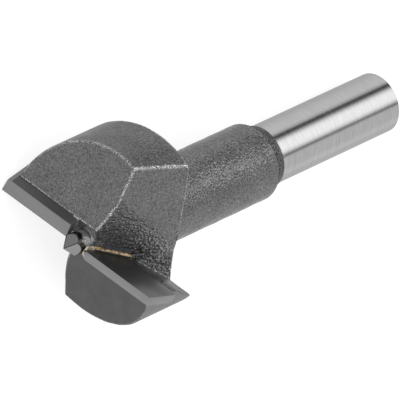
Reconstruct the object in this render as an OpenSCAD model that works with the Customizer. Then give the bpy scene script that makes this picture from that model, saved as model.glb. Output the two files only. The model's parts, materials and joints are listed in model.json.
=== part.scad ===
// Two-lobed boring bit with brazed carbide tips, lying on a tip, its back rim and its shank end.
// Sizes are in millimetres. The bit is drawn on its own axis first: the cutting edges lie in the
// plane z = 0, the shank runs towards +z, and lobe 1 has its cutting edge along +x.
// It cuts clockwise seen from the shank, so the rake face of lobe 1 looks towards -y.

/* [Cutting edges] */
// Diameter of the bored hole
cutter_d = 26; // [25:0.5:32]
// Angle by which the rake face leans back from the axis
rake_angle = 20; // [14:1:24]
// Clearance angle of the narrow land behind the cutting edge
land_angle = 14; // [8:1:18]

/* [Carbide tips] */
// Thickness of the plate, square to its rake face
tip_thickness = 1.4; // [1.2:0.1:1.8]
// Depth of the plate, down its rake face
tip_depth = 6.6; // [6:0.1:7.5]
// Distance from the axis to the inner end of the plate
tip_inner = 1.6; // [1.6:0.1:2.5]
// Relief angle of the ground outer end of the plate, enough for its foot to clear the bored wall
tip_side_relief = 9.5; // [8.5:0.5:12]

/* [Braze] */
// Thickness of the solder layer between plate and seat
braze_gap = 0.12; // [0.08:0.02:0.2]
// Radius of the solder bead in the corner of the gullet
braze_bead_r = 0.5; // [0.3:0.05:0.7]

/* [Cast head] */
// Diameter of the cast head, less than the cutting diameter
head_d = 24.4; // [23.5:0.1:24.8]
// Distance from the cutting edges to the back of the head
head_back = 12.4; // [11.5:0.1:14]
// Distance from the cutting edges to the crest of the front faces
front_setback = 1; // [0.8:0.1:1.4]
// Angle by which each front face falls away behind its cutting edge
front_angle = 16.5; // [12:0.5:20]
// Chamfer of the back rim
back_chamfer = 0.25; // [0.15:0.05:0.8]

/* [Gullets] */
// Distance from the axis to the outer gullet wall, in the plane of the cutting edges
wall_offset = 2.45; // [2.3:0.01:3]
// Angle by which the outer gullet wall leans away from the axis
wall_lean = 17.9; // [16:0.1:20]
// Turn of the outer gullet wall about the axis
wall_turn = -4.7; // [-8:0.1:-2]
// Distance from the axis to the inner gullet wall, in the plane of the cutting edges
scoop_offset = 0.4; // [0.3:0.01:0.7]
// Angle by which the inner gullet wall leans away from the axis
scoop_lean = 26.3; // [25:0.1:28]
// Turn of the inner gullet wall about the axis
scoop_turn = 8.5; // [6:0.1:10]
// Distance from the axis to the heel behind the plate, in the plane of the cutting edges
heel_offset = -0.36; // [-0.5:0.01:-0.2]
// Angle by which the heel leans away from the axis
heel_lean = 27.1; // [26:0.1:28]
// Turn of the heel about the axis
heel_turn = -7.4; // [-9:0.1:-6]
// Length of cast floor that carries on the rake face behind the plate
floor_run = 0.9; // [0.5:0.1:1.5]
// Angle between the axis and the floor behind the plate
ramp_angle = 35; // [30:1:40]

/* [Centre point] */
// Height of the point above the cutting edges
point_height = 2.15; // [1.5:0.05:3]
// Diameter of the round post that carries the point
post_d = 2.9; // [2.4:0.1:3]
// Angle between the axis and each of the two ground facets
facet_angle = 36; // [30:1:45]
// Angle between the axis and the crest where the facets meet
crest_angle = 38; // [32:1:50]
// Depth of the milled run-out of each tip seat beside the post
run_out_depth = 2.4; // [2:0.1:4]

/* [Neck and shank] */
// Diameter of the cast neck
neck_d = 10.3; // [9.6:0.1:11]
// Distance from the cutting edges to the end of the neck
neck_end = 32.7; // [28:0.1:36]
// Radius of the fillet between head and neck
neck_fillet = 0.9; // [0.5:0.1:1]
// Chamfer at the end of the neck
neck_chamfer = 0.25; // [0.15:0.05:0.5]
// Diameter of the short collar left unground next to the neck
collar_d = 8.4; // [8.2:0.1:9.2]
// Length of the collar
collar_len = 1.8; // [1:0.1:3]
// Diameter of the ground shank
shank_d = 8; // [7:0.5:8]
// Distance from the cutting edges to the end of the shank
shank_end = 57; // [50:0.5:70]
// Chamfer at the end of the shank
shank_chamfer = 0.3; // [0.2:0.05:0.8]

/* [Hidden] */
$fn = 96;

cutter_r = cutter_d / 2;
head_r = head_d / 2;
neck_r = neck_d / 2;
collar_r = collar_d / 2;
shank_r = shank_d / 2;
post_r = post_d / 2;
collar_end = neck_end + collar_len;

// Long enough to reach through the head and its neighbours in any direction
reach = 4 * cutter_d;

// Rear edge of the rake face, where the gullet floor starts, as [y, z]
rake_foot = (tip_depth + floor_run) * [sin(rake_angle), cos(rake_angle)];

// The bit lies on three points: the outer corner of tip 2, the trailing corner of the back rim
// of lobe 1, and the chamfered shank end
rim_z = head_back - back_chamfer;
end_z = shank_end - shank_chamfer;
rim_turn = wall_turn - acos((wall_offset + rim_z * tan(wall_lean)) / head_r);

// The turn about the axis at which the three are level, so that
// tip_slope * cos(turn) - rim_slope * cos(turn - rim_turn) = shank_slope
tip_slope = cutter_r / end_z;
rim_slope = head_r / (end_z - rim_z);
shank_slope = shank_r / end_z - shank_r / (end_z - rim_z);
level = [tip_slope - rim_slope * cos(rim_turn), -rim_slope * sin(rim_turn)];
rest_turn = atan2(level[1], level[0]) - acos(shank_slope / norm(level));

// Dip of the axis towards the shank end, and height of the cutting plane's centre over the table
dip = atan((cutter_r * cos(rest_turn) - shank_r) / end_z);
lift = shank_r * cos(dip) + end_z * sin(dip);
rest_x_min = -max(point_height * cos(dip), cutter_r * cos(rest_turn) * sin(dip));
rest_x_max = shank_end * cos(dip) + (shank_r - shank_chamfer) * sin(dip);

// Point at height z of the corner between the rake plane and the inner gullet wall
function corner(z) = [(scoop_offset + z * (tan(scoop_lean) - tan(rake_angle) * sin(scoop_turn))) / cos(scoop_turn),
                      z * tan(rake_angle), z];

// Points of a concave quarter fillet, from the face below its centre to the wall beside it
function fillet(centre, r, steps) =
    [for (i = [0:steps]) centre - r * [sin(90 * i / steps), cos(90 * i / steps)]];

// Turns the bit from its own axis to the way it lies, centred over the origin
module lying() {
    translate([-(rest_x_min + rest_x_max) / 2, 0, lift])
        rotate([0, 90 + dip, 0])
            rotate([0, 0, 180 - rest_turn])
                children();
}

// Repeats what is drawn for lobe 1 on lobe 2
module both_lobes() {
    for (turn = [0, 180]) {
        rotate([0, 0, turn])
            children();
    }
}

// Draws a profile given as [y, z] as a bar along x, from x0 to x1
module bar_along_x(x0, x1, profile) {
    translate([x0, 0, 0])
        rotate([90, 0, 90])
            linear_extrude(x1 - x0)
                polygon(profile);
}

// Round rod from one point to another
module rod(start, end, r) {
    way = end - start;
    translate(start)
        rotate([0, acos(way[2] / norm(way)), atan2(way[1], way[0])])
            cylinder(r = r, h = norm(way));
}

// Everything beyond a plane that leans away from the axis
module beyond(offset, lean, turn) {
    rotate([0, 0, turn])
        translate([offset, 0, 0])
            rotate([0, lean, 0])
                translate([0, -reach / 2, -reach / 2])
                    cube(reach);
}

// The turned blank: head, fillet, neck, collar and shank
module blank() {
    fillet_centre = [neck_r + neck_fillet, head_back + neck_fillet];
    fillet_steps = 6;
    profile = concat(
        [[0, 0], [head_r, 0], [head_r, rim_z], [head_r - back_chamfer, head_back]],
        fillet(fillet_centre, neck_fillet, fillet_steps),
        [[neck_r, neck_end - neck_chamfer], [neck_r - neck_chamfer, neck_end], [collar_r, neck_end],
         [collar_r, collar_end], [shank_r, collar_end],
         [shank_r, end_z], [shank_r - shank_chamfer, shank_end], [0, shank_end]]);
    rotate_extrude()
        polygon(profile);
}

// The two sloping front faces, kept as one roof over the whole head
module front_roof() {
    eave = front_setback + cutter_d * tan(front_angle);
    bar_along_x(-reach / 2, reach / 2,
        [[0, front_setback], [cutter_d, eave], [cutter_d, reach],
         [-cutter_d, reach], [-cutter_d, eave]]);
}

// The chip space in front of the cutting edge of lobe 1
module gullet() {
    front = -cutter_r;
    ramp_end = rake_foot + reach * [tan(ramp_angle), 1];
    intersection() {
        bar_along_x(-reach / 2, reach / 2,
            [[-reach / 2, front], [front * tan(rake_angle), front], rake_foot, ramp_end,
             [-reach / 2, ramp_end[1]]]);
        union() {
            beyond(wall_offset, wall_lean, wall_turn);
            beyond(scoop_offset, scoop_lean, scoop_turn);
        }
        beyond(heel_offset, heel_lean, heel_turn);
    }
}

// The space of a tip in its own lean, with gap added at its back, foot and inner end
// and on the rake side
module tip_space(gap, x0, x1, depth) {
    back = tip_thickness + gap;
    rotate([-rake_angle, 0, 0])
        bar_along_x(x0, x1,
            [[-gap, -gap * tan(rake_angle + land_angle)], [back, back * tan(rake_angle + land_angle)],
             [back, depth], [-gap, depth]]);
}

// Seat of the tip of lobe 1, with room for the solder
module tip_seat() {
    tip_space(braze_gap, tip_inner - braze_gap, 2 * cutter_r, tip_depth + braze_gap);
}

// The centre point: a round post, its end ground to a crest along x with two facets
module centre_point() {
    intersection() {
        translate([0, 0, -point_height])
            cylinder(r = post_r, h = point_height + head_back);
        translate([0, 0, -point_height])
            rotate([90, 0, 90])
                linear_extrude(reach, center = true)
                    polygon([[0, 0], [reach * tan(facet_angle), reach],
                             [-reach * tan(facet_angle), reach]]);
        translate([0, 0, -point_height])
            rotate([90, 0, 0])
                linear_extrude(reach, center = true)
                    polygon([[0, 0], [reach * tan(crest_angle), reach],
                             [-reach * tan(crest_angle), reach]]);
    }
}

// The casting before the tip seats are cut
module casting() {
    difference() {
        intersection() {
            blank();
            front_roof();
        }
        both_lobes()
            gullet();
    }
}

module bit_body() {
    color("dimgray")
        lying() {
            difference() {
                union() {
                    difference() {
                        casting();
                        both_lobes()
                            tip_space(braze_gap, -cutter_r, tip_inner, run_out_depth);
                    }
                    centre_point();
                }
                both_lobes()
                    tip_seat();
            }
        }
}

// One carbide plate with its land, its rake face and its relieved outer end
module carbide_tip() {
    color("darkgray")
        difference() {
            tip_space(0, tip_inner, 2 * cutter_r, tip_depth);
            translate([cutter_r, 0, 0])
                rotate([0, 0, tip_side_relief])
                    translate([0, -reach / 2, -reach / 2])
                        cube(reach);
        }
}

// Solder of one plate: the layer in its seat and the bead in the corner of the gullet,
// which stops at the post of the centre point
module braze_seam() {
    color("goldenrod")
        difference() {
            union() {
                intersection() {
                    casting();
                    tip_seat();
                }
                intersection() {
                    rod(corner(front_setback), corner(rake_foot[1]), braze_bead_r);
                    union() {
                        gullet();
                        tip_seat();
                    }
                }
            }
            tip_space(0, tip_inner, 2 * cutter_r, tip_depth);
            centre_point();
        }
}

module carbide_tip_1() { lying() carbide_tip(); }
module carbide_tip_2() { lying() rotate([0, 0, 180]) carbide_tip(); }
module braze_seam_1() { lying() braze_seam(); }
module braze_seam_2() { lying() rotate([0, 0, 180]) braze_seam(); }

bit_body();
carbide_tip_1();
carbide_tip_2();
braze_seam_1();
braze_seam_2();
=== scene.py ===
# %% [markdown]
# A boring bit with two carbide plates
# The bit bores flat-bottomed holes for cupboard hinges. Its body is one steel casting: a head with
# two lobes, a neck and a ground shank. A carbide plate is soldered on each lobe.
# The solids arrive as a fixed frame, already at their real size and place. What follows gives them
# the finish of the real tool: soft cast edges, sandy skin, ground steel, dark carbide and solder.

# %% Load the frame
import json
from math import atan2, cos, pi, radians, sin, tan

import bmesh
import bpy
from mathutils import Matrix, Vector, kdtree, noise

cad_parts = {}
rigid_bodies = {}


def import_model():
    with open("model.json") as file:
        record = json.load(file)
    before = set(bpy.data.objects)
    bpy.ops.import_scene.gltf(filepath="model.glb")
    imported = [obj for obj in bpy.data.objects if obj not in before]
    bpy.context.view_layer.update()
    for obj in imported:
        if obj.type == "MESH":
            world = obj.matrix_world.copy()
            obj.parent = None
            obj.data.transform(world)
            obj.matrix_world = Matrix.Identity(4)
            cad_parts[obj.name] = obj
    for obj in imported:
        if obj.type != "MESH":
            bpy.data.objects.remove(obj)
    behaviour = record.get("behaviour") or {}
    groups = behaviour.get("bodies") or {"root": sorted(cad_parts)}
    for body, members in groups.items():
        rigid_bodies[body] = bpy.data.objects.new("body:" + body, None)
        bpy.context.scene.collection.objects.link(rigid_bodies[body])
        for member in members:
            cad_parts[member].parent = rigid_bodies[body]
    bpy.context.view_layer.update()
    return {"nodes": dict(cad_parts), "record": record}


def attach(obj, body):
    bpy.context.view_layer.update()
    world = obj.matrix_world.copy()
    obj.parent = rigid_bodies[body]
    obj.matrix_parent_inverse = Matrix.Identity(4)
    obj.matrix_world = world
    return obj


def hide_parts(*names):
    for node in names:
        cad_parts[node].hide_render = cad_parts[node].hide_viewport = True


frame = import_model()
nodes = frame["nodes"]
MM = 0.001
print("nodes:", sorted(nodes))

# %% [markdown]
# The bit's own axes
# The bit lies askew on the table, so its sizes are easier to think of along its own axis: z runs
# from the plane of the cutting edges to the shank, and x along the cutting edge of the first plate.
# The shank's mount in the record gives the axis, and the plate's outer corner gives x.
# One matrix then turns a point of the bit, in millimetres, into a point of the scene.

# %% Build the bit's own axes
SHANK_MIDDLE_Z = 45.6
shank = frame["record"]["mounts"][0]
axis = Vector(shank["axis"]).normalized()
edge_centre = Vector(shank["pos_m"]) - axis * SHANK_MIDDLE_Z * MM


def radius_vector(point):
    """The part of a scene point's place that is square to the bit's axis."""
    arm = point - edge_centre
    return arm - axis * arm.dot(axis)


def outer_and_front(point):
    """Largest at the outer end of the cutting edge: far out, and in the plane of the edges."""
    return radius_vector(point).length - abs((point - edge_centre).dot(axis))


outer_corner = max((v.co for v in nodes["carbide_tip_1"].data.vertices), key=outer_and_front)
blade = radius_vector(outer_corner).normalized()
turn = Matrix((blade, axis.cross(blade), axis)).transposed()
bit_to_scene = Matrix.Translation(edge_centre) @ turn.to_4x4() @ Matrix.Scale(MM, 4)
scene_to_bit = bit_to_scene.inverted()
print("cutting radius:", round(radius_vector(outer_corner).length / MM, 3), "mm")

# %% [markdown]
# Where the finishes change
# A grinder touched only some places: the shank, the point, and a stretch of each lobe's outer wall
# behind its plate. The rest keeps its cast skin. One could paint the places on by hand, but a few
# sizes of the bit and a question about a point tell them apart, and meshes and materials share both.

# %% Name the places on the bit
HEAD_RADIUS = 12.2
HEAD_BACK_Z = 12.4
NECK_END_Z = 32.7
COLLAR_END_Z = 34.5
POST_RADIUS = 1.45
POINT_HEIGHT = 2.15
FACET = radians(36)
CREST = radians(38)
FRONT_Z = 1.0
FRONT_SLOPE = radians(16.5)
RAKE = radians(20)
LAND = radians(34)
PLATE_THICKNESS = 1.4
PLATE_DEPTH = 6.6
PLATE_INNER = 1.6
GROUND_RIM_DEPTH = 0.15
GROUND_RIM_ANGLE = radians(42)


def on_lobe_one(p):
    """Turns a point of the second lobe half a turn, onto the first."""
    return p if p.x >= 0 else Vector((-p.x, -p.y, p.z))


def plate_place(p):
    """A bit point as (along the plate, through it, down its rake face)."""
    q = on_lobe_one(p)
    return Vector((q.x, q.y * cos(RAKE) - q.z * sin(RAKE), q.y * sin(RAKE) + q.z * cos(RAKE)))


def near_seat(p, margin):
    """True within the margin of the place where a plate is soldered in."""
    along, through, down = plate_place(p)
    return (
        along > PLATE_INNER - margin
        and -margin < through < PLATE_THICKNESS + margin
        and down < PLATE_DEPTH + margin
    )


def on_ground_rim(p):
    """True on the stretch of a lobe's outer wall that was ground together with its plate."""
    is_outer_wall = Vector(p.xy).length > HEAD_RADIUS - GROUND_RIM_DEPTH
    return is_outer_wall and atan2(p.y, p.x) % pi < GROUND_RIM_ANGLE


print("head", HEAD_BACK_Z, "mm, neck", round(NECK_END_Z - HEAD_BACK_Z, 1), "mm long")

# %% [markdown]
# The cast body
# Head, neck and shank are one casting. A sand mould leaves no sharp edges, and the skin is a little
# wavy. One could sculpt that by hand, or round every edge with a Bevel modifier.
# Here a copy of the body's mesh is bevelled by an operator instead, because a function can then
# choose the edges: the long creases of the casting, and none of the ground or soldered places.

# %% Copy the body's mesh
SAME_POINT = 0.002
FLAT = radians(0.5)


def merged_copy(node):
    """A bmesh of a node's triangles, joined at their corners and with flat faces made whole."""
    bm = bmesh.new()
    bm.from_mesh(nodes[node].data)
    bmesh.ops.remove_doubles(bm, verts=bm.verts, dist=SAME_POINT * MM)
    bmesh.ops.dissolve_limit(bm, angle_limit=FLAT, verts=bm.verts, edges=bm.edges)
    return bm


body = merged_copy("bit_body")
print("body:", len(body.faces), "whole faces")

# %% Choose the cast edges
SHARP = radians(18)
SHORTEST_EDGE = 0.35
EDGE_SLACK = 0.1
POST_CLEARANCE = 0.8
SEAT_CLEARANCE = 0.35


def ends_of(edge):
    """The two ends of an edge, in the bit's own axes."""
    return [scene_to_bit @ v.co for v in edge.verts]


def is_cast_edge(edge):
    """True for a long crease of the casting, away from the seats, the post and the shank."""
    ends = ends_of(edge)
    middle = (ends[0] + ends[1]) / 2
    return (
        edge.calc_face_angle(0) > SHARP
        and edge.calc_length() > SHORTEST_EDGE * MM
        and middle.z < NECK_END_Z + EDGE_SLACK
        and Vector(middle.xy).length > POST_RADIUS + POST_CLEARANCE
        and not any(near_seat(p, SEAT_CLEARANCE) for p in ends)
    )


cast_edges = [e for e in body.edges if is_cast_edge(e)]
head_edges = [e for e in cast_edges if ends_of(e)[0].z < HEAD_BACK_Z + EDGE_SLACK]
crests = [e for e in head_edges if e.is_convex]
print(len(cast_edges), "cast edges,", len(head_edges), "of them on the head")

# %% [markdown]
# Lines of painted highlight
# The proud edges of the casting get a painted highlight, while its hollows stay dark and pitted.
# One could find such places with a Pointiness node, but that also answers to every small lump and
# to the size of the triangles. The edges are known here, so points along them are kept before the
# bevel replaces them, and each vertex can ask later how near it is to one.

# %% Keep points along the lines of painted highlight
BLUNT = radians(10)
LONG_EDGE = 1.0
DOT_SPACING = 0.1
OUTER_WALL_DEPTH = 0.3
LENGTHWISE = 0.6
SEAT_TOLERANCE = 0.25
SEAT_EDGE_Z = 2.5


def is_ridge(edge):
    """True for the blunt ridge between the two walls of a gullet."""
    is_blunt = BLUNT < edge.calc_face_angle(0) < SHARP
    return is_blunt and edge.calc_length() > LONG_EDGE * MM and edge.is_convex


def is_outer(edge):
    """True for an edge of the head's outer wall."""
    return all(Vector(p.xy).length > HEAD_RADIUS - OUTER_WALL_DEPTH for p in ends_of(edge))


def is_lengthwise(edge):
    """True for an edge that runs along the bit rather than around it."""
    start, end = (v.co for v in edge.verts)
    return abs((start - end).dot(axis)) > LENGTHWISE * edge.calc_length()


def on_seat_back(p):
    """True at the front of the plane that the backs of the plates lie on."""
    through = abs(p.y) * cos(RAKE) - p.z * sin(RAKE)
    return abs(through - PLATE_THICKNESS) < SEAT_TOLERANCE and p.z < SEAT_EDGE_Z


def is_seat_edge(edge):
    """True for the crease between a front face and the back of a plate's seat."""
    is_crease = edge.is_convex and edge.calc_face_angle(0) > SHARP
    is_long = edge.calc_length() > LONG_EDGE * MM
    return is_crease and is_long and all(on_seat_back(p) for p in ends_of(edge))


def dotted(edges):
    """Points along the edges, a small step apart."""
    points = []
    for edge in edges:
        start, end = (v.co.copy() for v in edge.verts)
        steps = max(1, round(edge.calc_length() / (DOT_SPACING * MM)))
        points += [start.lerp(end, i / steps) for i in range(steps + 1)]
    return points


corners = dotted(e for e in crests if is_outer(e) and is_lengthwise(e))
arcs = dotted(e for e in crests if is_outer(e) and not is_lengthwise(e))
rims = dotted(e for e in crests if not is_outer(e))
hollows = dotted(e for e in head_edges if not e.is_convex)
ridges = dotted(e for e in body.edges if is_ridge(e))
seat_edges = dotted(e for e in body.edges if is_seat_edge(e))
print(len(corners), "points on corners,", len(rims), "on rims,", len(hollows), "in hollows")

# %% Bevel the cast edges
EDGE_ROUND = 0.22
THINNEST = 0.01
bmesh.ops.bevel(
    body, geom=cast_edges, offset=EDGE_ROUND * MM, offset_type="OFFSET", affect="EDGES",
    segments=3, profile=0.5, material=-1, clamp_overlap=False,
)
bmesh.ops.triangulate(body, faces=body.faces)
bmesh.ops.dissolve_degenerate(body, dist=THINNEST * MM, edges=body.edges)
print("bevelled body:", len(body.faces), "triangles")

# %% [markdown]
# The cast skin
# The mould's sand leaves low waves in the skin and blunts the ridge in each gullet. A Displace
# modifier could push the surface about, but it would also bend the ground places.
# So the mesh is cut into small triangles, each vertex is marked as near an edge with a painted highlight,
# sunk or scooped for the material to read, and only vertices of the cast skin are pushed in or out by a
# smooth noise.

# %% Refine the head and the neck
HEAD_FINENESS = 0.42
NECK_FINENESS = 1.0
FINE_OVERLAP = 0.5


def refine(bm, longest, passes, wanted=lambda p: True):
    """Cuts edges longer than a length, in millimetres, until the mesh is fine enough."""
    for _ in range(passes):
        bmesh.ops.triangulate(bm, faces=bm.faces)
        long_edges = [
            e for e in bm.edges
            if e.calc_length() > longest * MM
            and wanted(scene_to_bit @ ((e.verts[0].co + e.verts[1].co) / 2))
        ]
        if not long_edges:
            break
        bmesh.ops.subdivide_edges(bm, edges=long_edges, cuts=1)
    bmesh.ops.triangulate(bm, faces=bm.faces)


refine(body, HEAD_FINENESS, passes=7, wanted=lambda p: p.z < HEAD_BACK_Z + FINE_OVERLAP)
refine(body, NECK_FINENESS, passes=5, wanted=lambda p: HEAD_BACK_Z < p.z < NECK_END_Z + FINE_OVERLAP)
print("refined body:", len(body.faces), "triangles")

# %% Mark edges for painted highlight, hollows and scoops
CORNER_REACH = 0.38
LINE_REACH = 0.36
HOLLOW_REACH = 4.0
RIDGE_REACH = 1.9
RIM_HIGHLIGHT = 0.75
ARC_HIGHLIGHT = 0.68
SEAT_HIGHLIGHT = 0.55
SCOOP_FACING = Vector((0.886, 0.128, -0.441))
SCOOP_ALIKE = 0.98
SCOOP_FADE = 0.015
half_turn = Matrix.Rotation(pi, 3, "Z")


def nearness(points, reach):
    """A function that is 1 at the points and falls to 0 at a reach in millimetres."""
    tree = kdtree.KDTree(len(points))
    for i, point in enumerate(points):
        tree.insert(point, i)
    tree.balance()
    return lambda p: max(0.0, 1 - tree.find(p)[2] / (reach * MM))


def scoop_likeness(v):
    """1 where a vertex faces as the scoop of its lobe does, fading to 0."""
    scoop_facing = SCOOP_FACING if (scene_to_bit @ v.co).x >= 0 else half_turn @ SCOOP_FACING
    alike = (turn.transposed() @ v.normal).dot(scoop_facing)
    return min(1.0, max(0.0, (alike - SCOOP_ALIKE) / SCOOP_FADE))


corner_nearness = nearness(corners, CORNER_REACH)
rim_nearness = nearness(rims, LINE_REACH)
arc_nearness = nearness(arcs, LINE_REACH)
seat_nearness = nearness(seat_edges, LINE_REACH)
hollow_nearness = nearness(hollows, HOLLOW_REACH)
ridge_nearness = nearness(ridges, RIDGE_REACH)
# The first mark says where the material paints a highlight near an edge.
highlit = body.verts.layers.float.new("edge_highlight")
sunk = body.verts.layers.float.new("hollow")
scooped = body.verts.layers.float.new("scoop")
body.normal_update()
for v in body.verts:
    v[highlit] = max(
        corner_nearness(v.co),
        RIM_HIGHLIGHT * rim_nearness(v.co),
        ARC_HIGHLIGHT * arc_nearness(v.co),
        SEAT_HIGHLIGHT * seat_nearness(v.co),
    )
    v[sunk] = hollow_nearness(v.co)
    v[scooped] = scoop_likeness(v) * (1 - ridge_nearness(v.co))
print(sum(v[highlit] > 0 for v in body.verts), "of", len(body.verts), "vertices lie on worn lines")

# %% Push the skin in and out
WAVE = 0.035
WAVES_PER_MM = 0.55
LUMP = 0.018
LUMPS_PER_MM = 1.9
LUMP_SHIFT = Vector((7, 3, 1))
RIDGE_CUT = 0.12
COLLAR_MARGIN = 0.2
POST_MARGIN = 0.6
SEAT_MARGIN = 0.45
CAST_CREASE = radians(40)


def keeps_its_place(p):
    """True on the ground places and near the seats of the plates."""
    return (
        p.z > NECK_END_Z - COLLAR_MARGIN
        or Vector(p.xy).length < POST_RADIUS + POST_MARGIN
        or on_ground_rim(p)
        or near_seat(p, SEAT_MARGIN)
    )


def finish_piece(bm, name, node, crease):
    """Makes the bmesh an object, smooth except at creases, that stands for a node if one is named."""
    for face in bm.faces:
        face.smooth = True
    for edge in bm.edges:
        edge.smooth = edge.calc_face_angle(0) < crease
    mesh = bpy.data.meshes.new(name)
    bm.to_mesh(mesh)
    bm.free()
    piece = bpy.data.objects.new(name, mesh)
    bpy.context.scene.collection.objects.link(piece)
    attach(piece, "root")
    if node:
        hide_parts(node)
    print(name, len(mesh.polygons), "triangles")
    return piece


for v in body.verts:
    p = scene_to_bit @ v.co
    if not keeps_its_place(p):
        height = WAVE * noise.noise(p * WAVES_PER_MM)
        height += LUMP * noise.noise(p * LUMPS_PER_MM + LUMP_SHIFT)
        height -= RIDGE_CUT * ridge_nearness(v.co) ** 2
        v.co += v.normal * height * MM
cast_body = finish_piece(body, "cast_body", "bit_body", CAST_CREASE)

# %% [markdown]
# The carbide plates
# Each plate is pressed, sintered and then ground on all faces, so it is flat and crisp.
# Left as it is, its mesh would have edges of no width, which never catch the light. A hair-thin
# bevel on every edge is all that it needs, and an operator cuts it once for good.

# %% Make the plates
PLATE_BEVEL = 0.03
PLATE_CREASE = radians(30)
plates = []
for i in (1, 2):
    bm = merged_copy(f"carbide_tip_{i}")
    bmesh.ops.bevel(
        bm, geom=list(bm.edges), offset=PLATE_BEVEL * MM, offset_type="OFFSET", affect="EDGES",
        segments=2, profile=0.5, material=-1, clamp_overlap=True,
    )
    bmesh.ops.triangulate(bm, faces=bm.faces)
    plates.append(finish_piece(bm, f"carbide_plate_{i}", f"carbide_tip_{i}", PLATE_CREASE))

# %% [markdown]
# The solder
# Solder freezes into a lumpy bead in the corner of each gullet. A new bead could be swept along a
# curve, but the frame already has one that fits its corner. So its mesh is refined, and its vertices
# are pushed about by noise, more strongly than on the casting and only where they stand clear.

# %% Make the solder beads
SOLDER_FINENESS = 0.22
BEAD_START = 0.13
BEAD_LUMP = 0.12
BEAD_LUMPS_PER_MM = 1.6
SOLDER_CREASE = radians(50)
solder = []
for i in (1, 2):
    bm = merged_copy(f"braze_seam_{i}")
    refine(bm, SOLDER_FINENESS, passes=6)
    bm.normal_update()
    for v in bm.verts:
        p = scene_to_bit @ v.co
        clear = min(1.0, max(0.0, (-BEAD_START - plate_place(p).y) / BEAD_START))
        v.co += v.normal * BEAD_LUMP * clear * noise.noise(p * BEAD_LUMPS_PER_MM) * MM
    solder.append(finish_piece(bm, f"solder_bead_{i}", f"braze_seam_{i}", SOLDER_CREASE))

# %% [markdown]
# The drip of solder
# On the first plate some solder ran out between the plate's inner end and the centre point, and
# froze there as a thin drip. A curve with a thickness would give a pipe of one width. A sphere that
# is drawn out along a bent line has the drip's rounded ends: its height says how far along the line
# a vertex goes, and its width becomes the drip's thickness.

# %% Make the drip
DRIP_LINE = [
    Vector((1.44, -0.20, 1.10)),
    Vector((1.40, 0.30, 0.62)),
    Vector((1.40, 0.95, 0.65)),
    Vector((1.40, 1.75, 0.85)),
]
DRIP_RADIUS = 0.28
DRIP_LEAN = 0.5
DRIP_HEIGHT = 1.6
DRIP_LUMP = 0.5
DRIP_LUMPS = 2.0


def on_drip_line(t):
    """A point of the bent line, from its start at 0 to its end at 1."""
    stretches = len(DRIP_LINE) - 1
    step = min(int(t * stretches), stretches - 1)
    return DRIP_LINE[step].lerp(DRIP_LINE[step + 1], t * stretches - step)


bm = bmesh.new()
bmesh.ops.create_uvsphere(bm, u_segments=16, v_segments=24, radius=1)
for v in bm.verts:
    thickness = DRIP_RADIUS * (1 + DRIP_LUMP * noise.noise(v.co * DRIP_LUMPS))
    across_line = Vector((v.co.x, DRIP_LEAN * v.co.y, DRIP_HEIGHT * v.co.y)) * thickness
    v.co = bit_to_scene @ (on_drip_line((v.co.z + 1) / 2) + across_line)
bmesh.ops.recalc_face_normals(bm, faces=bm.faces)
bmesh.ops.triangulate(bm, faces=bm.faces)
solder.append(finish_piece(bm, "solder_drip", None, SOLDER_CREASE))

# %% [markdown]
# Shader arithmetic
# A finish is a sum of masks and noises. The nodes could be wired one by one, but that hides the
# formula. So a small class wraps a socket, and Python's own operators add the Math nodes.

# %% A socket that can be added, multiplied and mixed
class Wire:
    """An output socket; arithmetic on it adds Math nodes to its tree."""

    def __init__(self, tree, socket):
        self.tree = tree
        self.socket = socket

    def node(self, kind, settings=None, inputs=None, out=0):
        """Adds a node: its settings are set first, then its inputs are set or linked."""
        made = self.tree.nodes.new(kind)
        for name, value in (settings or {}).items():
            setattr(made, name, value)
        for name, value in (inputs or {}).items():
            if isinstance(value, Wire):
                self.tree.links.new(value.socket, made.inputs[name])
            else:
                made.inputs[name].default_value = value
        return Wire(self.tree, made.outputs[out])

    def math(self, operation, *others):
        """A Math node with this value first."""
        return self.node("ShaderNodeMath", {"operation": operation}, dict(enumerate((self, *others))))

    def flipped(self, operation, other):
        """A Math node with this value second."""
        return self.node("ShaderNodeMath", {"operation": operation}, {0: other, 1: self})

    def __add__(self, other):
        return self.math("ADD", other)

    def __radd__(self, other):
        return self.flipped("ADD", other)

    def __sub__(self, other):
        return self.math("SUBTRACT", other)

    def __rsub__(self, other):
        return self.flipped("SUBTRACT", other)

    def __mul__(self, other):
        return self.math("MULTIPLY", other)

    def __rmul__(self, other):
        return self.flipped("MULTIPLY", other)

    def __truediv__(self, other):
        return self.math("DIVIDE", other)

    def __rtruediv__(self, other):
        return self.flipped("DIVIDE", other)

    def rise(self, low, high):
        """0 below low, 1 above high, smooth between; low may be the larger one."""
        flip = low > high
        step = self.node(
            "ShaderNodeMapRange", {"interpolation_type": "SMOOTHSTEP"},
            {"Value": self, "From Min": min(low, high), "From Max": max(low, high)},
        )
        return 1 - step if flip else step

    def band(self, low, high, soft):
        """1 between low and high, 0 outside."""
        return self.rise(low - soft, low + soft) * self.rise(high + soft, high - soft)

    def blend(self, first, second):
        """The first colour where this value is 0, the second where it is 1."""
        return self.node("ShaderNodeMix", {"data_type": "RGBA"}, {0: self, 6: first, 7: second}, 2)

    def noise(self, scale, detail, roughness, stretch=None):
        """Smooth noise on this vector, in cycles per millimetre."""
        where = self
        if stretch:
            where = self.node("ShaderNodeVectorMath", {"operation": "MULTIPLY"}, {0: self, 1: stretch})
        return self.node(
            "ShaderNodeTexNoise", None,
            {"Vector": where, "Scale": scale, "Detail": detail, "Roughness": roughness},
        )


print("a wire can:", [name for name in vars(Wire) if not name.startswith("_")])

# %% Helpers for a finish
def grey(value):
    """A neutral colour from a linear brightness."""
    return (value, value, value, 1)


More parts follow.
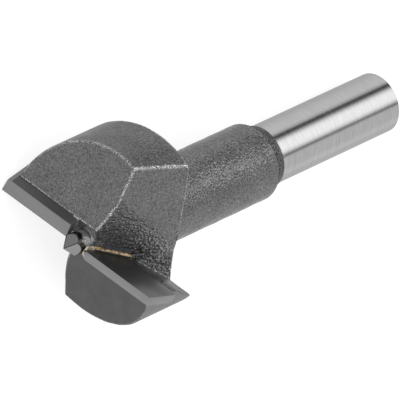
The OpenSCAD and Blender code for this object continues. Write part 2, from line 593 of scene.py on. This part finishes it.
def new_finish(name):
    """A material, its shader node, and the bit's own coordinates in millimetres."""
    finish = bpy.data.materials.new(name)
    finish.use_nodes = True
    tree = finish.node_tree
    tree.nodes.clear()
    shader = tree.nodes.new("ShaderNodeBsdfPrincipled")
    output = tree.nodes.new("ShaderNodeOutputMaterial")
    tree.links.new(shader.outputs[0], output.inputs[0])
    place = Wire(tree, tree.nodes.new("ShaderNodeTexCoord").outputs["Object"])
    place = place.node("ShaderNodeMapping", None, {
        "Vector": place,
        "Location": scene_to_bit.to_translation(),
        "Rotation": scene_to_bit.to_quaternion().to_euler(),
        "Scale": scene_to_bit.to_scale(),
    })
    return finish, shader, place


def split(place):
    """The x, y and z of a vector as three wires."""
    return [place.node("ShaderNodeSeparateXYZ", None, {"Vector": place}, i) for i in range(3)]


def plate_wires(x, y, z):
    """A point as wires along its lobe's plate, through it and down its rake face."""
    side = x.math("SIGN")
    across = y * side
    through = across * cos(RAKE) - z * sin(RAKE)
    down = across * sin(RAKE) + z * cos(RAKE)
    return x * side, through, down


def vertex_mark(place, name):
    """A number that was stored on the vertices."""
    return place.node("ShaderNodeAttribute", {"attribute_name": name}, None, 2)


def bump(height, depth):
    """A Normal for the shader from a height of 0 to 1 and its depth in millimetres."""
    return height.node("ShaderNodeBump", None, {"Height": height, "Strength": 1.0, "Distance": depth * MM})


def feed(shader, **sockets):
    """Links a wire to a socket of the shader, or sets a constant there."""
    for name, value in sockets.items():
        socket = shader.inputs[name.replace("_", " ")]
        if isinstance(value, Wire):
            value.tree.links.new(value.socket, socket)
        else:
            socket.default_value = value


def put_on(finish, pieces):
    """Gives the finish to pieces."""
    for piece in pieces:
        piece.data.materials.append(finish)
    print(finish.name, "has", len(finish.node_tree.nodes), "nodes, on", [piece.name for piece in pieces])


print("finishes measure", round(scene_to_bit.to_scale().x), "units to a metre")

# %% [markdown]
# The ground places of the body
# The wheel left the shank, the facets of the point and a stretch of each lobe's outer wall bright.
# One could cut the body up and give each part a material, but it is one lump of steel.
# So it has one material, with masks in the bit's own coordinates. A mask is a number from 0 to 1:
# rise fades it in between two places, and a product of masks holds where all of them do.

# %% Mark the ground places
STEP_SOFT = 0.05
RIM_SKIN = (0.12, 0.04)
RIM_TURN = (radians(40), radians(34))
RIM_BACK = (0.1, 0.4)
POST_SKIN = (0.12, 0.05)
POST_SIDE_SKIN = (0.10, 0.04)
POST_FOOT_Z = (1.6, 1.2)
FLANK_SOFT = 0.04
CREST_BAND = (-0.05, 0.09, 0.03)
DULL_BEHIND_FACET = (0.55, 0.95)

finish, shader, place = new_finish("cast_and_ground_steel")
x, y, z = split(place)
along, through, down = plate_wires(x, y, z)
from_middle = y.math("ABSOLUTE")
radius = (x * x + y * y).math("SQRT")
turned = y.math("ARCTAN2", x).math("FLOORED_MODULO", pi)

is_shank = z.rise(COLLAR_END_Z - STEP_SOFT, COLLAR_END_Z + STEP_SOFT)
is_ground_rim = (
    radius.rise(HEAD_RADIUS - RIM_SKIN[0], HEAD_RADIUS - RIM_SKIN[1])
    * turned.rise(*RIM_TURN)
    * z.rise(HEAD_BACK_Z - RIM_BACK[0], HEAD_BACK_Z - RIM_BACK[1])
)
is_post = radius.rise(POST_RADIUS + POST_SKIN[0], POST_RADIUS + POST_SKIN[1]) * z.rise(*POST_FOOT_Z)
is_post_side = radius.rise(POST_RADIUS - POST_SIDE_SKIN[0], POST_RADIUS - POST_SIDE_SKIN[1])
is_flank = (from_middle - along).rise(-FLANK_SOFT, FLANK_SOFT)
is_crest = (from_middle - along).band(*CREST_BAND)
facet_z = (from_middle / tan(FACET)).math("MAXIMUM", along / tan(CREST)) - POINT_HEIGHT
is_dull_side = is_post * is_post_side * (z - facet_z).rise(*DULL_BEHIND_FACET)
is_smooth = is_shank.math("MAXIMUM", is_ground_rim).math("MAXIMUM", is_post * (1 - is_dull_side))
print("masks of the ground places:", len(finish.node_tree.nodes), "nodes so far")

# %% [markdown]
# The cast places of the body
# The cast skin isn't alike everywhere: the front of the first lobe is finer and darkened by painted
# shade, the strip behind each plate is duller, solder splashed beside the post, and heat left a blue tint
# beside the bead. The marks on the vertices say where edges get a painted highlight and hollows are dark,
# because no formula in coordinates follows those lines. The other places are boxes, which bands of
# coordinates give.

# %% Mark the cast places
NECK_CLEARANCE = 0.6
NECK_SOFT = 0.4
FRONT_FADE = (0.35, 0.20)
FINE_FRONT_Y = (0.2, 0.7)
SCOOP_ALONG = (9.0, 5.0)
STRIP_DOWN = (8.8, 13.4, 0.3)
STRIP_THROUGH = (-0.2, 1.6, 0.15)
RAMP_THROUGH = (0.1, 1.7, 0.1)
RAMP_DOWN = (6.8, 7.2)
RAMP_ALONG = (7.0, 9.5)
CORE_RADIUS = (3.6, 2.8)
CORE_X = (1.6, 1.1)
CORE_Y = (0.3, -0.1)
CORE_Z = (4.5, 3.5)
SPLASH_RADIUS = (1.5, 2.3, 0.15)
SPLASH_X = (0.5, 0.9)
SPLASH_THROUGH = (-1.3, 0.1, 0.1)
SPLASH_Z = (3.5, 3.0)
TINT_THROUGH = (-1.15, -0.35, 0.12)
TINT_DOWN = (0.9, 7.0, 0.4)
TINT_ALONG = (5.2, 4.4)

edge_mark = vertex_mark(place, "edge_highlight")
hollow_mark = vertex_mark(place, "hollow")
scoop_mark = vertex_mark(place, "scoop") * (1 - hollow_mark) * along.rise(*SCOOP_ALONG)
is_collar = z.band(NECK_END_Z, COLLAR_END_Z, STEP_SOFT)
is_neck = z.band(HEAD_BACK_Z + NECK_CLEARANCE, NECK_END_Z, NECK_SOFT)
is_front = (z - FRONT_Z - from_middle * tan(FRONT_SLOPE)).rise(*FRONT_FADE)
is_fine_front = is_front * y.rise(*FINE_FRONT_Y)
is_strip = down.band(*STRIP_DOWN) * through.band(*STRIP_THROUGH)
is_ramp_end = through.band(*RAMP_THROUGH) * down.rise(*RAMP_DOWN) * along.rise(*RAMP_ALONG)
is_core = radius.rise(*CORE_RADIUS) * x.rise(*CORE_X) * y.rise(*CORE_Y) * (1 - is_front)
is_core = is_core * z.rise(*CORE_Z)
is_splash = radius.band(*SPLASH_RADIUS) * x.rise(*SPLASH_X) * through.band(*SPLASH_THROUGH)
is_splash = is_splash * z.rise(*SPLASH_Z)
is_tinted = (1 - is_splash) * through.band(*TINT_THROUGH) * down.band(*TINT_DOWN)
is_tinted = is_tinted * along.rise(*TINT_ALONG)
print("masks of the cast places:", len(finish.node_tree.nodes), "nodes so far")

# %% [markdown]
# The grain of the casting
# Each grain of sand left its print, so the skin is speckled, with larger clouds and, in the hollows,
# pits. An image of cast iron could be wrapped round the body, but it would need seams and stretch.
# Noise in space has neither. A noise stays near its middle, so rise spreads that middle over 0 to 1:
# the narrower its limits, the harder the spots.

# %% Mix the tone of the casting
SOFT_SPOTS = (0.3, 0.7)
SPOTS = (0.35, 0.65)
HARD_SPOTS = (0.4, 0.6)
STRIP_SPOTS = (0.40, 0.62)
SPLASH_SPOTS = (0.45, 0.65)
GLINTS = (0.40, 0.66)
EDGE_HIGHLIGHT_FADE = (0.05, 0.75)
CAST_TONE = 0.127
FINE_FRONT_PAINTED_SHADE = 0.032
NECK_LIGHT = 0.014
FINE_FRONT_CALM = 0.75
TINT_CALM = 0.7
GRAIN_SPREAD = 0.55
CLOUD_SPREAD = 0.5
GLINT_LIGHT = 0.55
STRIP_GLINT = 0.06
HOLLOW_SPREAD = 1.9
HOLLOW_SHADE = 0.9
STRIP_LIGHT = 0.5
RAMP_SHADE = 0.65
SCOOP_PAINTED_LIGHT = 0.25
SCOOP_SPREAD = 0.7
CORE_LIGHT = 0.26
SPLASH_LIGHT = 0.45

grain = place.noise(scale=4.2, detail=1.0, roughness=0.5)
speck = place.noise(scale=7.5, detail=1.0, roughness=0.5)
cloud = place.noise(scale=0.35, detail=3.0, roughness=0.55)
pits = place.noise(scale=2.8, detail=1.0, roughness=0.5)
rings = place.noise(scale=1.0, detail=2.0, roughness=0.6, stretch=(0.4, 0.4, 14.0))
coarse = (1 - FINE_FRONT_CALM * is_fine_front) * (1 - TINT_CALM * is_tinted)
spread = GRAIN_SPREAD * (grain.rise(*SOFT_SPOTS) + speck.rise(*SOFT_SPOTS) - 1)
# The glints are a painted highlight along the marked edges and on the strip.
sparkle = speck.rise(*GLINTS) * (edge_mark.rise(*EDGE_HIGHLIGHT_FADE) + STRIP_GLINT * is_strip)
wrinkles = pits.rise(*SPOTS) * (1 - is_strip) + speck.rise(*STRIP_SPOTS) * is_strip

# The fine front's darker tone is painted shade; its calmer grain is real.
tone = CAST_TONE - FINE_FRONT_PAINTED_SHADE * is_fine_front + NECK_LIGHT * is_neck
tone = tone * (1 + spread * coarse + CLOUD_SPREAD * (cloud - 0.5)) + GLINT_LIGHT * sparkle
tone = tone * (1 + hollow_mark * (HOLLOW_SPREAD * wrinkles - HOLLOW_SHADE + STRIP_LIGHT * is_strip))
tone = tone * (1 - RAMP_SHADE * is_ramp_end)
# Painted light lifts the scoop's tone; its pits are real.
tone = tone * (1 + scoop_mark * (SCOOP_PAINTED_LIGHT + SCOOP_SPREAD * pits.rise(*HARD_SPOTS)))
tone = tone + CORE_LIGHT * is_core + SPLASH_LIGHT * is_splash * speck.rise(*SPLASH_SPOTS)
print("tone of the casting:", len(finish.node_tree.nodes), "nodes so far")

# %% [markdown]
# The colours of the body
# Steel has no colour of its own, so nearly all of them are greys: the casting dark, ground steel
# light, and the rough collar between them almost black. Only the heat tint is blue.
# The colours are laid over each other like coats of paint, each through its own mask, because the
# order then settles which one shows where two masks meet.

# %% Colour the body
HEAT_TINT = (0.17, 0.21, 0.25, 1)
HEAT_TINT_SHARE = 0.75
RIM_GREYS = (grey(0.195), grey(0.235))
SHANK_GREYS = (grey(0.375), grey(0.445))
FACET_PAINTED_SHADE_GREYS = (grey(0.21), grey(0.15))
CREST_PAINTED_SHADE = grey(0.03)
GAP_PAINTED_SHADOW = (0.045, 0.042, 0.038, 1)
POST_FOOT_PAINTED_LIGHT_GREYS = (grey(0.18), grey(0.38))
COLLAR_GREYS = (grey(0.03), grey(0.15))

cast_colour = tone.blend(grey(0.0), grey(1.0))
cast_colour = (is_tinted * HEAT_TINT_SHARE).blend(cast_colour, HEAT_TINT)
# Painted shadow darkens the post's side next to its facets, and painted light lifts it deeper down.
post_side_colour = is_dull_side.blend(GAP_PAINTED_SHADOW, speck.rise(*SPOTS).blend(*POST_FOOT_PAINTED_LIGHT_GREYS))
# The flank facets are darker than the end facets and the crest is a dark line, all painted shade.
post_colour = is_crest.blend(is_flank.blend(*FACET_PAINTED_SHADE_GREYS), CREST_PAINTED_SHADE)
post_colour = is_post_side.blend(post_colour, post_side_colour)
colour = is_ground_rim.blend(cast_colour, cloud.blend(*RIM_GREYS))
colour = is_post.blend(colour, post_colour)
colour = is_collar.blend(colour, speck.rise(*SPOTS).blend(*COLLAR_GREYS))
colour = is_shank.blend(colour, rings.rise(*SOFT_SPOTS).blend(*SHANK_GREYS))
print("colours of the body:", len(finish.node_tree.nodes), "nodes so far")

# %% [markdown]
# Gloss and relief of the body
# Ground steel mirrors in long streaks, because the wheel left fine rings around the shank. Cast steel
# glints from many small facets. Relief that fine would need millions of triangles, so a Bump node
# tilts the light instead, with a cell pattern for the facets. The tint of the shader's reflections
# keeps metal seen at a slant as dull as the real skin.

# %% Finish the body
CAST_ROUGH = 0.25
GRAIN_ROUGH = 0.10
FINE_FRONT_ROUGH = 0.2
NECK_GLOSS = 0.15
GROUND_ROUGH = 0.12
RING_ROUGH = 0.10
RIM_ROUGH = 0.28
GRAIN_RELIEF = 0.25
FACET_RELIEF = 0.5
NECK_RELIEF = 0.05
HOLLOW_RELIEF = 1.4
STRIP_CALM = 1.15
SCOOP_RELIEF = 0.5
RING_RELIEF = 0.035
RELIEF_DEPTH = 0.13
CAST_METALLIC = 0.8

facets = place.node("ShaderNodeTexVoronoi", None, {"Vector": place, "Scale": 3.0})
cast_rough = CAST_ROUGH + GRAIN_ROUGH * grain + FINE_FRONT_ROUGH * is_fine_front - NECK_GLOSS * is_neck
ground_rough = GROUND_ROUGH + RING_ROUGH * rings + RIM_ROUGH * is_ground_rim
grain_height = (GRAIN_RELIEF * grain + FACET_RELIEF * facets) * coarse * (1 + NECK_RELIEF * is_neck)
pit_height = pits * (hollow_mark * (HOLLOW_RELIEF - STRIP_CALM * is_strip) + SCOOP_RELIEF * scoop_mark)
height = (grain_height + pit_height) * (1 - is_smooth) + RING_RELIEF * rings * is_shank
feed(
    shader,
    Base_Color=colour,
    Roughness=cast_rough * (1 - is_smooth) + ground_rough * is_smooth,
    Metallic=CAST_METALLIC + (1 - CAST_METALLIC) * is_smooth,
    Normal=bump(height, RELIEF_DEPTH),
    Specular_Tint=grey(0.62),
)
put_on(finish, [cast_body])

# %% [markdown]
# The finish of the plates
# Carbide is grey and dense. The rake face is polished and mirrors the dark around it; its grey and
# the back's grey are painted shade. The narrow land behind the edge was ground last, with fine lines
# along the edge, and its lighter grey is painted light, as are the lighter greys of the plate's ends.
# Each face could have its own material slot. Masks are used instead, as on the body, because they
# also let a face grow lighter towards its end: painted light along the rake face.

# %% Finish the plates
LAND_FADE = (0.12, 0.06)
RAKE_FADE = (0.10, 0.05)
END_ALONG = (12.05, 12.15)
INNER_ALONG = (1.75, 1.65)
OUTWARD = (6.0, 12.5)
BACK_PAINTED_SHADE_GREY = grey(0.085)
RAKE_PAINTED_SHADE_GREYS = (grey(0.08), grey(0.14))
LAND_LINES_AND_LIGHT_GREYS = (grey(0.18), grey(0.25))
END_PAINTED_LIGHT_GREY = grey(0.185)
INNER_PAINTED_LIGHT_GREY = grey(0.17)
CARBIDE_ROUGH = 0.34
LINE_ROUGH = 0.12
INNER_ROUGH = 0.5
LINE_DEPTH = 0.006

finish, shader, place = new_finish("ground_carbide")
along, through, down = plate_wires(*split(place))
is_land = (down - through * tan(LAND)).rise(*LAND_FADE)
is_rake = through.rise(*RAKE_FADE) * (1 - is_land)
is_end = along.rise(*END_ALONG) * (1 - is_land) * (1 - is_rake)
is_inner = along.rise(*INNER_ALONG) * (1 - is_land)
lines = place.noise(scale=1.0, detail=2.0, roughness=0.6, stretch=(0.5, 16.0, 6.0))
# The rake and back greys are painted shade; the land, end and inner end greys are painted light.
colour = is_rake.blend(BACK_PAINTED_SHADE_GREY, along.rise(*OUTWARD).blend(*RAKE_PAINTED_SHADE_GREYS))
colour = is_land.blend(colour, lines.blend(*LAND_LINES_AND_LIGHT_GREYS))
colour = is_end.blend(colour, END_PAINTED_LIGHT_GREY)
colour = is_inner.blend(colour, INNER_PAINTED_LIGHT_GREY)
feed(
    shader,
    Base_Color=colour,
    Metallic=1.0,
    Roughness=CARBIDE_ROUGH + LINE_ROUGH * lines + INNER_ROUGH * is_inner,
    Normal=bump(lines * is_land, LINE_DEPTH),
)
put_on(finish, plates)

# %% [markdown]
# The finish of the solder
# Silver solder with brass in it is a pale gold. Flux and heat leave brown films on it, and the thin
# layer behind a plate is dark, except at its open end beside the post.
# Two noises are enough: a large one says where the film lies, and a fine one mottles each colour.

# %% Finish the solder
BEAD_FACE = (-0.12, -0.18)
GOLD_THROUGH = (-0.45, -0.18, 0.06)
GOLD_FILM = (0.36, 0.56)
PALE_FILM = (0.34, 0.50)
DRIP_X = (1.0, 1.95, 0.05)
DRIP_Z = (2.0, 1.8)
OPEN_END_X = (-2.4, -0.2, 0.1)
LAYER_GREYS = (grey(0.03), grey(0.07))
OPEN_END_GREY = grey(0.40)
BROWNS = ((0.05, 0.034, 0.02, 1), (0.15, 0.095, 0.05, 1))
GOLDS = ((0.22, 0.15, 0.085, 1), (0.52, 0.40, 0.26, 1))
PALES = ((0.16, 0.12, 0.08, 1), (0.48, 0.43, 0.33, 1))
SOLDER_ROUGH = 0.3
FINE_ROUGH = 0.25
FINE_DEPTH = 0.03

finish, shader, place = new_finish("pale_gold_solder")
x, y, z = split(place)
_, through, _ = plate_wires(x, y, z)
film = place.noise(scale=1.3, detail=3.0, roughness=0.6)
fine = place.noise(scale=5.0, detail=2.0, roughness=0.5)
is_bead = through.rise(*BEAD_FACE)
is_gold = through.band(*GOLD_THROUGH) * film.rise(*GOLD_FILM)
is_drip = x.band(*DRIP_X) * z.rise(*DRIP_Z)
layer_colour = x.band(*OPEN_END_X).blend(fine.blend(*LAYER_GREYS), OPEN_END_GREY)
bead_colour = is_gold.blend(fine.blend(*BROWNS), fine.rise(*SPOTS).blend(*GOLDS))
colour = is_bead.blend(layer_colour, bead_colour)
colour = is_drip.blend(colour, film.rise(*PALE_FILM).blend(*PALES))
feed(
    shader,
    Base_Color=colour,
    Metallic=0.8,
    Roughness=SOLDER_ROUGH + FINE_ROUGH * fine,
    Normal=bump(fine, FINE_DEPTH),
)
put_on(finish, solder)

# %% [markdown]
# The camera
# The photograph looks at the bit slantwise, at an angle to its axis that shows the front of the
# head and the length of the shank. A camera could be moved by eye until the view fits. Here three
# angles of the bit in the picture fix how it is turned, and one point of the bit and a scale fix
# where it stands, so nothing has to be tried out. A long lens keeps the shank from tapering.

# %% Set the camera
IMAGE_PX = 400
AXIS_FROM_VIEW = radians(47.93)
AXIS_IN_IMAGE = radians(25.097)
BLADE_IN_IMAGE = radians(50.54)
PX_PER_MM = 8.008
EDGE_CENTRE_PX = Vector((74.98, 243.39))
DISTANCE = 1500.0
SENSOR = 36.0

ahead = Vector((0, 0, -1))
along_image = Vector((cos(AXIS_IN_IMAGE), sin(AXIS_IN_IMAGE), 0))
across_image = Vector((sin(AXIS_IN_IMAGE), -cos(AXIS_IN_IMAGE), 0))
axis_seen = sin(AXIS_FROM_VIEW) * along_image + cos(AXIS_FROM_VIEW) * ahead
tilt_seen = cos(AXIS_FROM_VIEW) * along_image - sin(AXIS_FROM_VIEW) * ahead
blade_seen = cos(BLADE_IN_IMAGE) * tilt_seen + sin(BLADE_IN_IMAGE) * across_image
bit_seen = Matrix((blade_seen, axis_seen.cross(blade_seen), axis_seen)).transposed()
camera_turn = turn @ bit_seen.transposed()

offset_px = EDGE_CENTRE_PX - Vector((IMAGE_PX / 2, IMAGE_PX / 2))
edge_centre_seen = Vector((offset_px.x / PX_PER_MM, -offset_px.y / PX_PER_MM, -DISTANCE))
camera_place = edge_centre - camera_turn @ edge_centre_seen * MM

camera_data = bpy.data.cameras.new("camera")
camera_data.sensor_width = SENSOR
camera_data.lens = SENSOR * PX_PER_MM * DISTANCE / IMAGE_PX
camera = bpy.data.objects.new("camera", camera_data)
camera.matrix_world = Matrix.Translation(camera_place) @ camera_turn.to_4x4()
bpy.context.scene.collection.objects.link(camera)
bpy.context.scene.camera = camera
print("camera at", [round(c, 3) for c in camera_place], "lens", round(camera_data.lens))

# %% [markdown]
# The floor
# The tool lies on a pale floor that runs out to nearly white. Much stronger lamps could bleach it,
# but they would burn out the metal as well. So the floor glows a little by itself, and the lamps
# only have to draw the faint shadow.

# %% Lay the floor
FLOOR_SIZE = 3
bm = bmesh.new()
bmesh.ops.create_grid(bm, x_segments=1, y_segments=1, size=FLOOR_SIZE)
floor_mesh = bpy.data.meshes.new("floor")
bm.to_mesh(floor_mesh)
bm.free()
floor = bpy.data.objects.new("floor", floor_mesh)
bpy.context.scene.collection.objects.link(floor)
finish, shader, _ = new_finish("pale_floor")
feed(shader, Base_Color=grey(0.28), Roughness=0.9, Emission_Color=grey(1.0), Emission_Strength=0.80)
put_on(finish, [floor])

# %% [markdown]
# The light
# Bare metal shows what stands around it, so the surroundings matter more than the lamp. A ring of
# lamps would show as small squares. Here one soft lamp draws the shadow, and the whole sky glows:
# a dark strip over the horizon, a bright window and a dim gap round that window.
# On the ground shank they become its dark line, its highlight and the second line below it.

# %% Hang the lamp
LAMP_WAY = Vector((0.5, 0.1, 0.9))
LAMP_DISTANCE = 0.8
LAMP_SIZE = 0.6
LAMP_POWER = 1.0

lamp_data = bpy.data.lights.new("top_light", "AREA")
lamp_data.size = LAMP_SIZE
lamp_data.energy = LAMP_POWER
lamp = bpy.data.objects.new("top_light", lamp_data)
lamp_way = (camera_turn @ LAMP_WAY).normalized()
lamp.location = edge_centre + lamp_way * LAMP_DISTANCE
lamp.rotation_euler = lamp_way.to_track_quat("Z", "Y").to_euler()
bpy.context.scene.collection.objects.link(lamp)
print("lamp at height", round(lamp.location.z, 3), "m")

# %% Light the sky
WINDOW_WAY = Vector((0.754, 0.29, 0.589))
WINDOW_EDGE = (0.92, 0.99)
WINDOW_LIGHT = 1.05
GAP_ROUND_WINDOW = (0.87, 0.925, 0.02)
GAP_SIDE = (0.2, 0.0)
GAP_SHADE = 0.7
HORIZON_SIDE = (0.15, 0.45)
HORIZON_HEIGHT = (0.13, 0.33, 0.06)
HORIZON_SHADE = 0.97
NEAR_SIDE = (-0.62, -0.80)
NEAR_LIGHT = 0.35

world = bpy.data.worlds.new("studio")
world.use_nodes = True
world_tree = world.node_tree
way = Wire(world_tree, world_tree.nodes.new("ShaderNodeTexCoord").outputs["Generated"])
_, way_y, way_z = split(way)
to_window = way.node("ShaderNodeVectorMath", {"operation": "DOT_PRODUCT"}, {0: way, 1: WINDOW_WAY}, 1)
dark_strip = way_y.rise(*HORIZON_SIDE) * way_z.band(*HORIZON_HEIGHT)
dim_gap = to_window.band(*GAP_ROUND_WINDOW) * way_y.rise(*GAP_SIDE)
glow = 1.0 - HORIZON_SHADE * dark_strip - GAP_SHADE * dim_gap
glow = glow + WINDOW_LIGHT * to_window.rise(*WINDOW_EDGE) + NEAR_LIGHT * way_y.rise(*NEAR_SIDE)
background = world_tree.nodes["Background"]
background.inputs["Color"].default_value = grey(1.0)
world_tree.links.new(glow.socket, background.inputs["Strength"])
bpy.context.scene.world = world
bpy.context.scene.view_settings.view_transform = "Standard"
print("sky of", len(world_tree.nodes), "nodes")

# %% [markdown]
# The size of the result
# The finish must not change the tool's size.
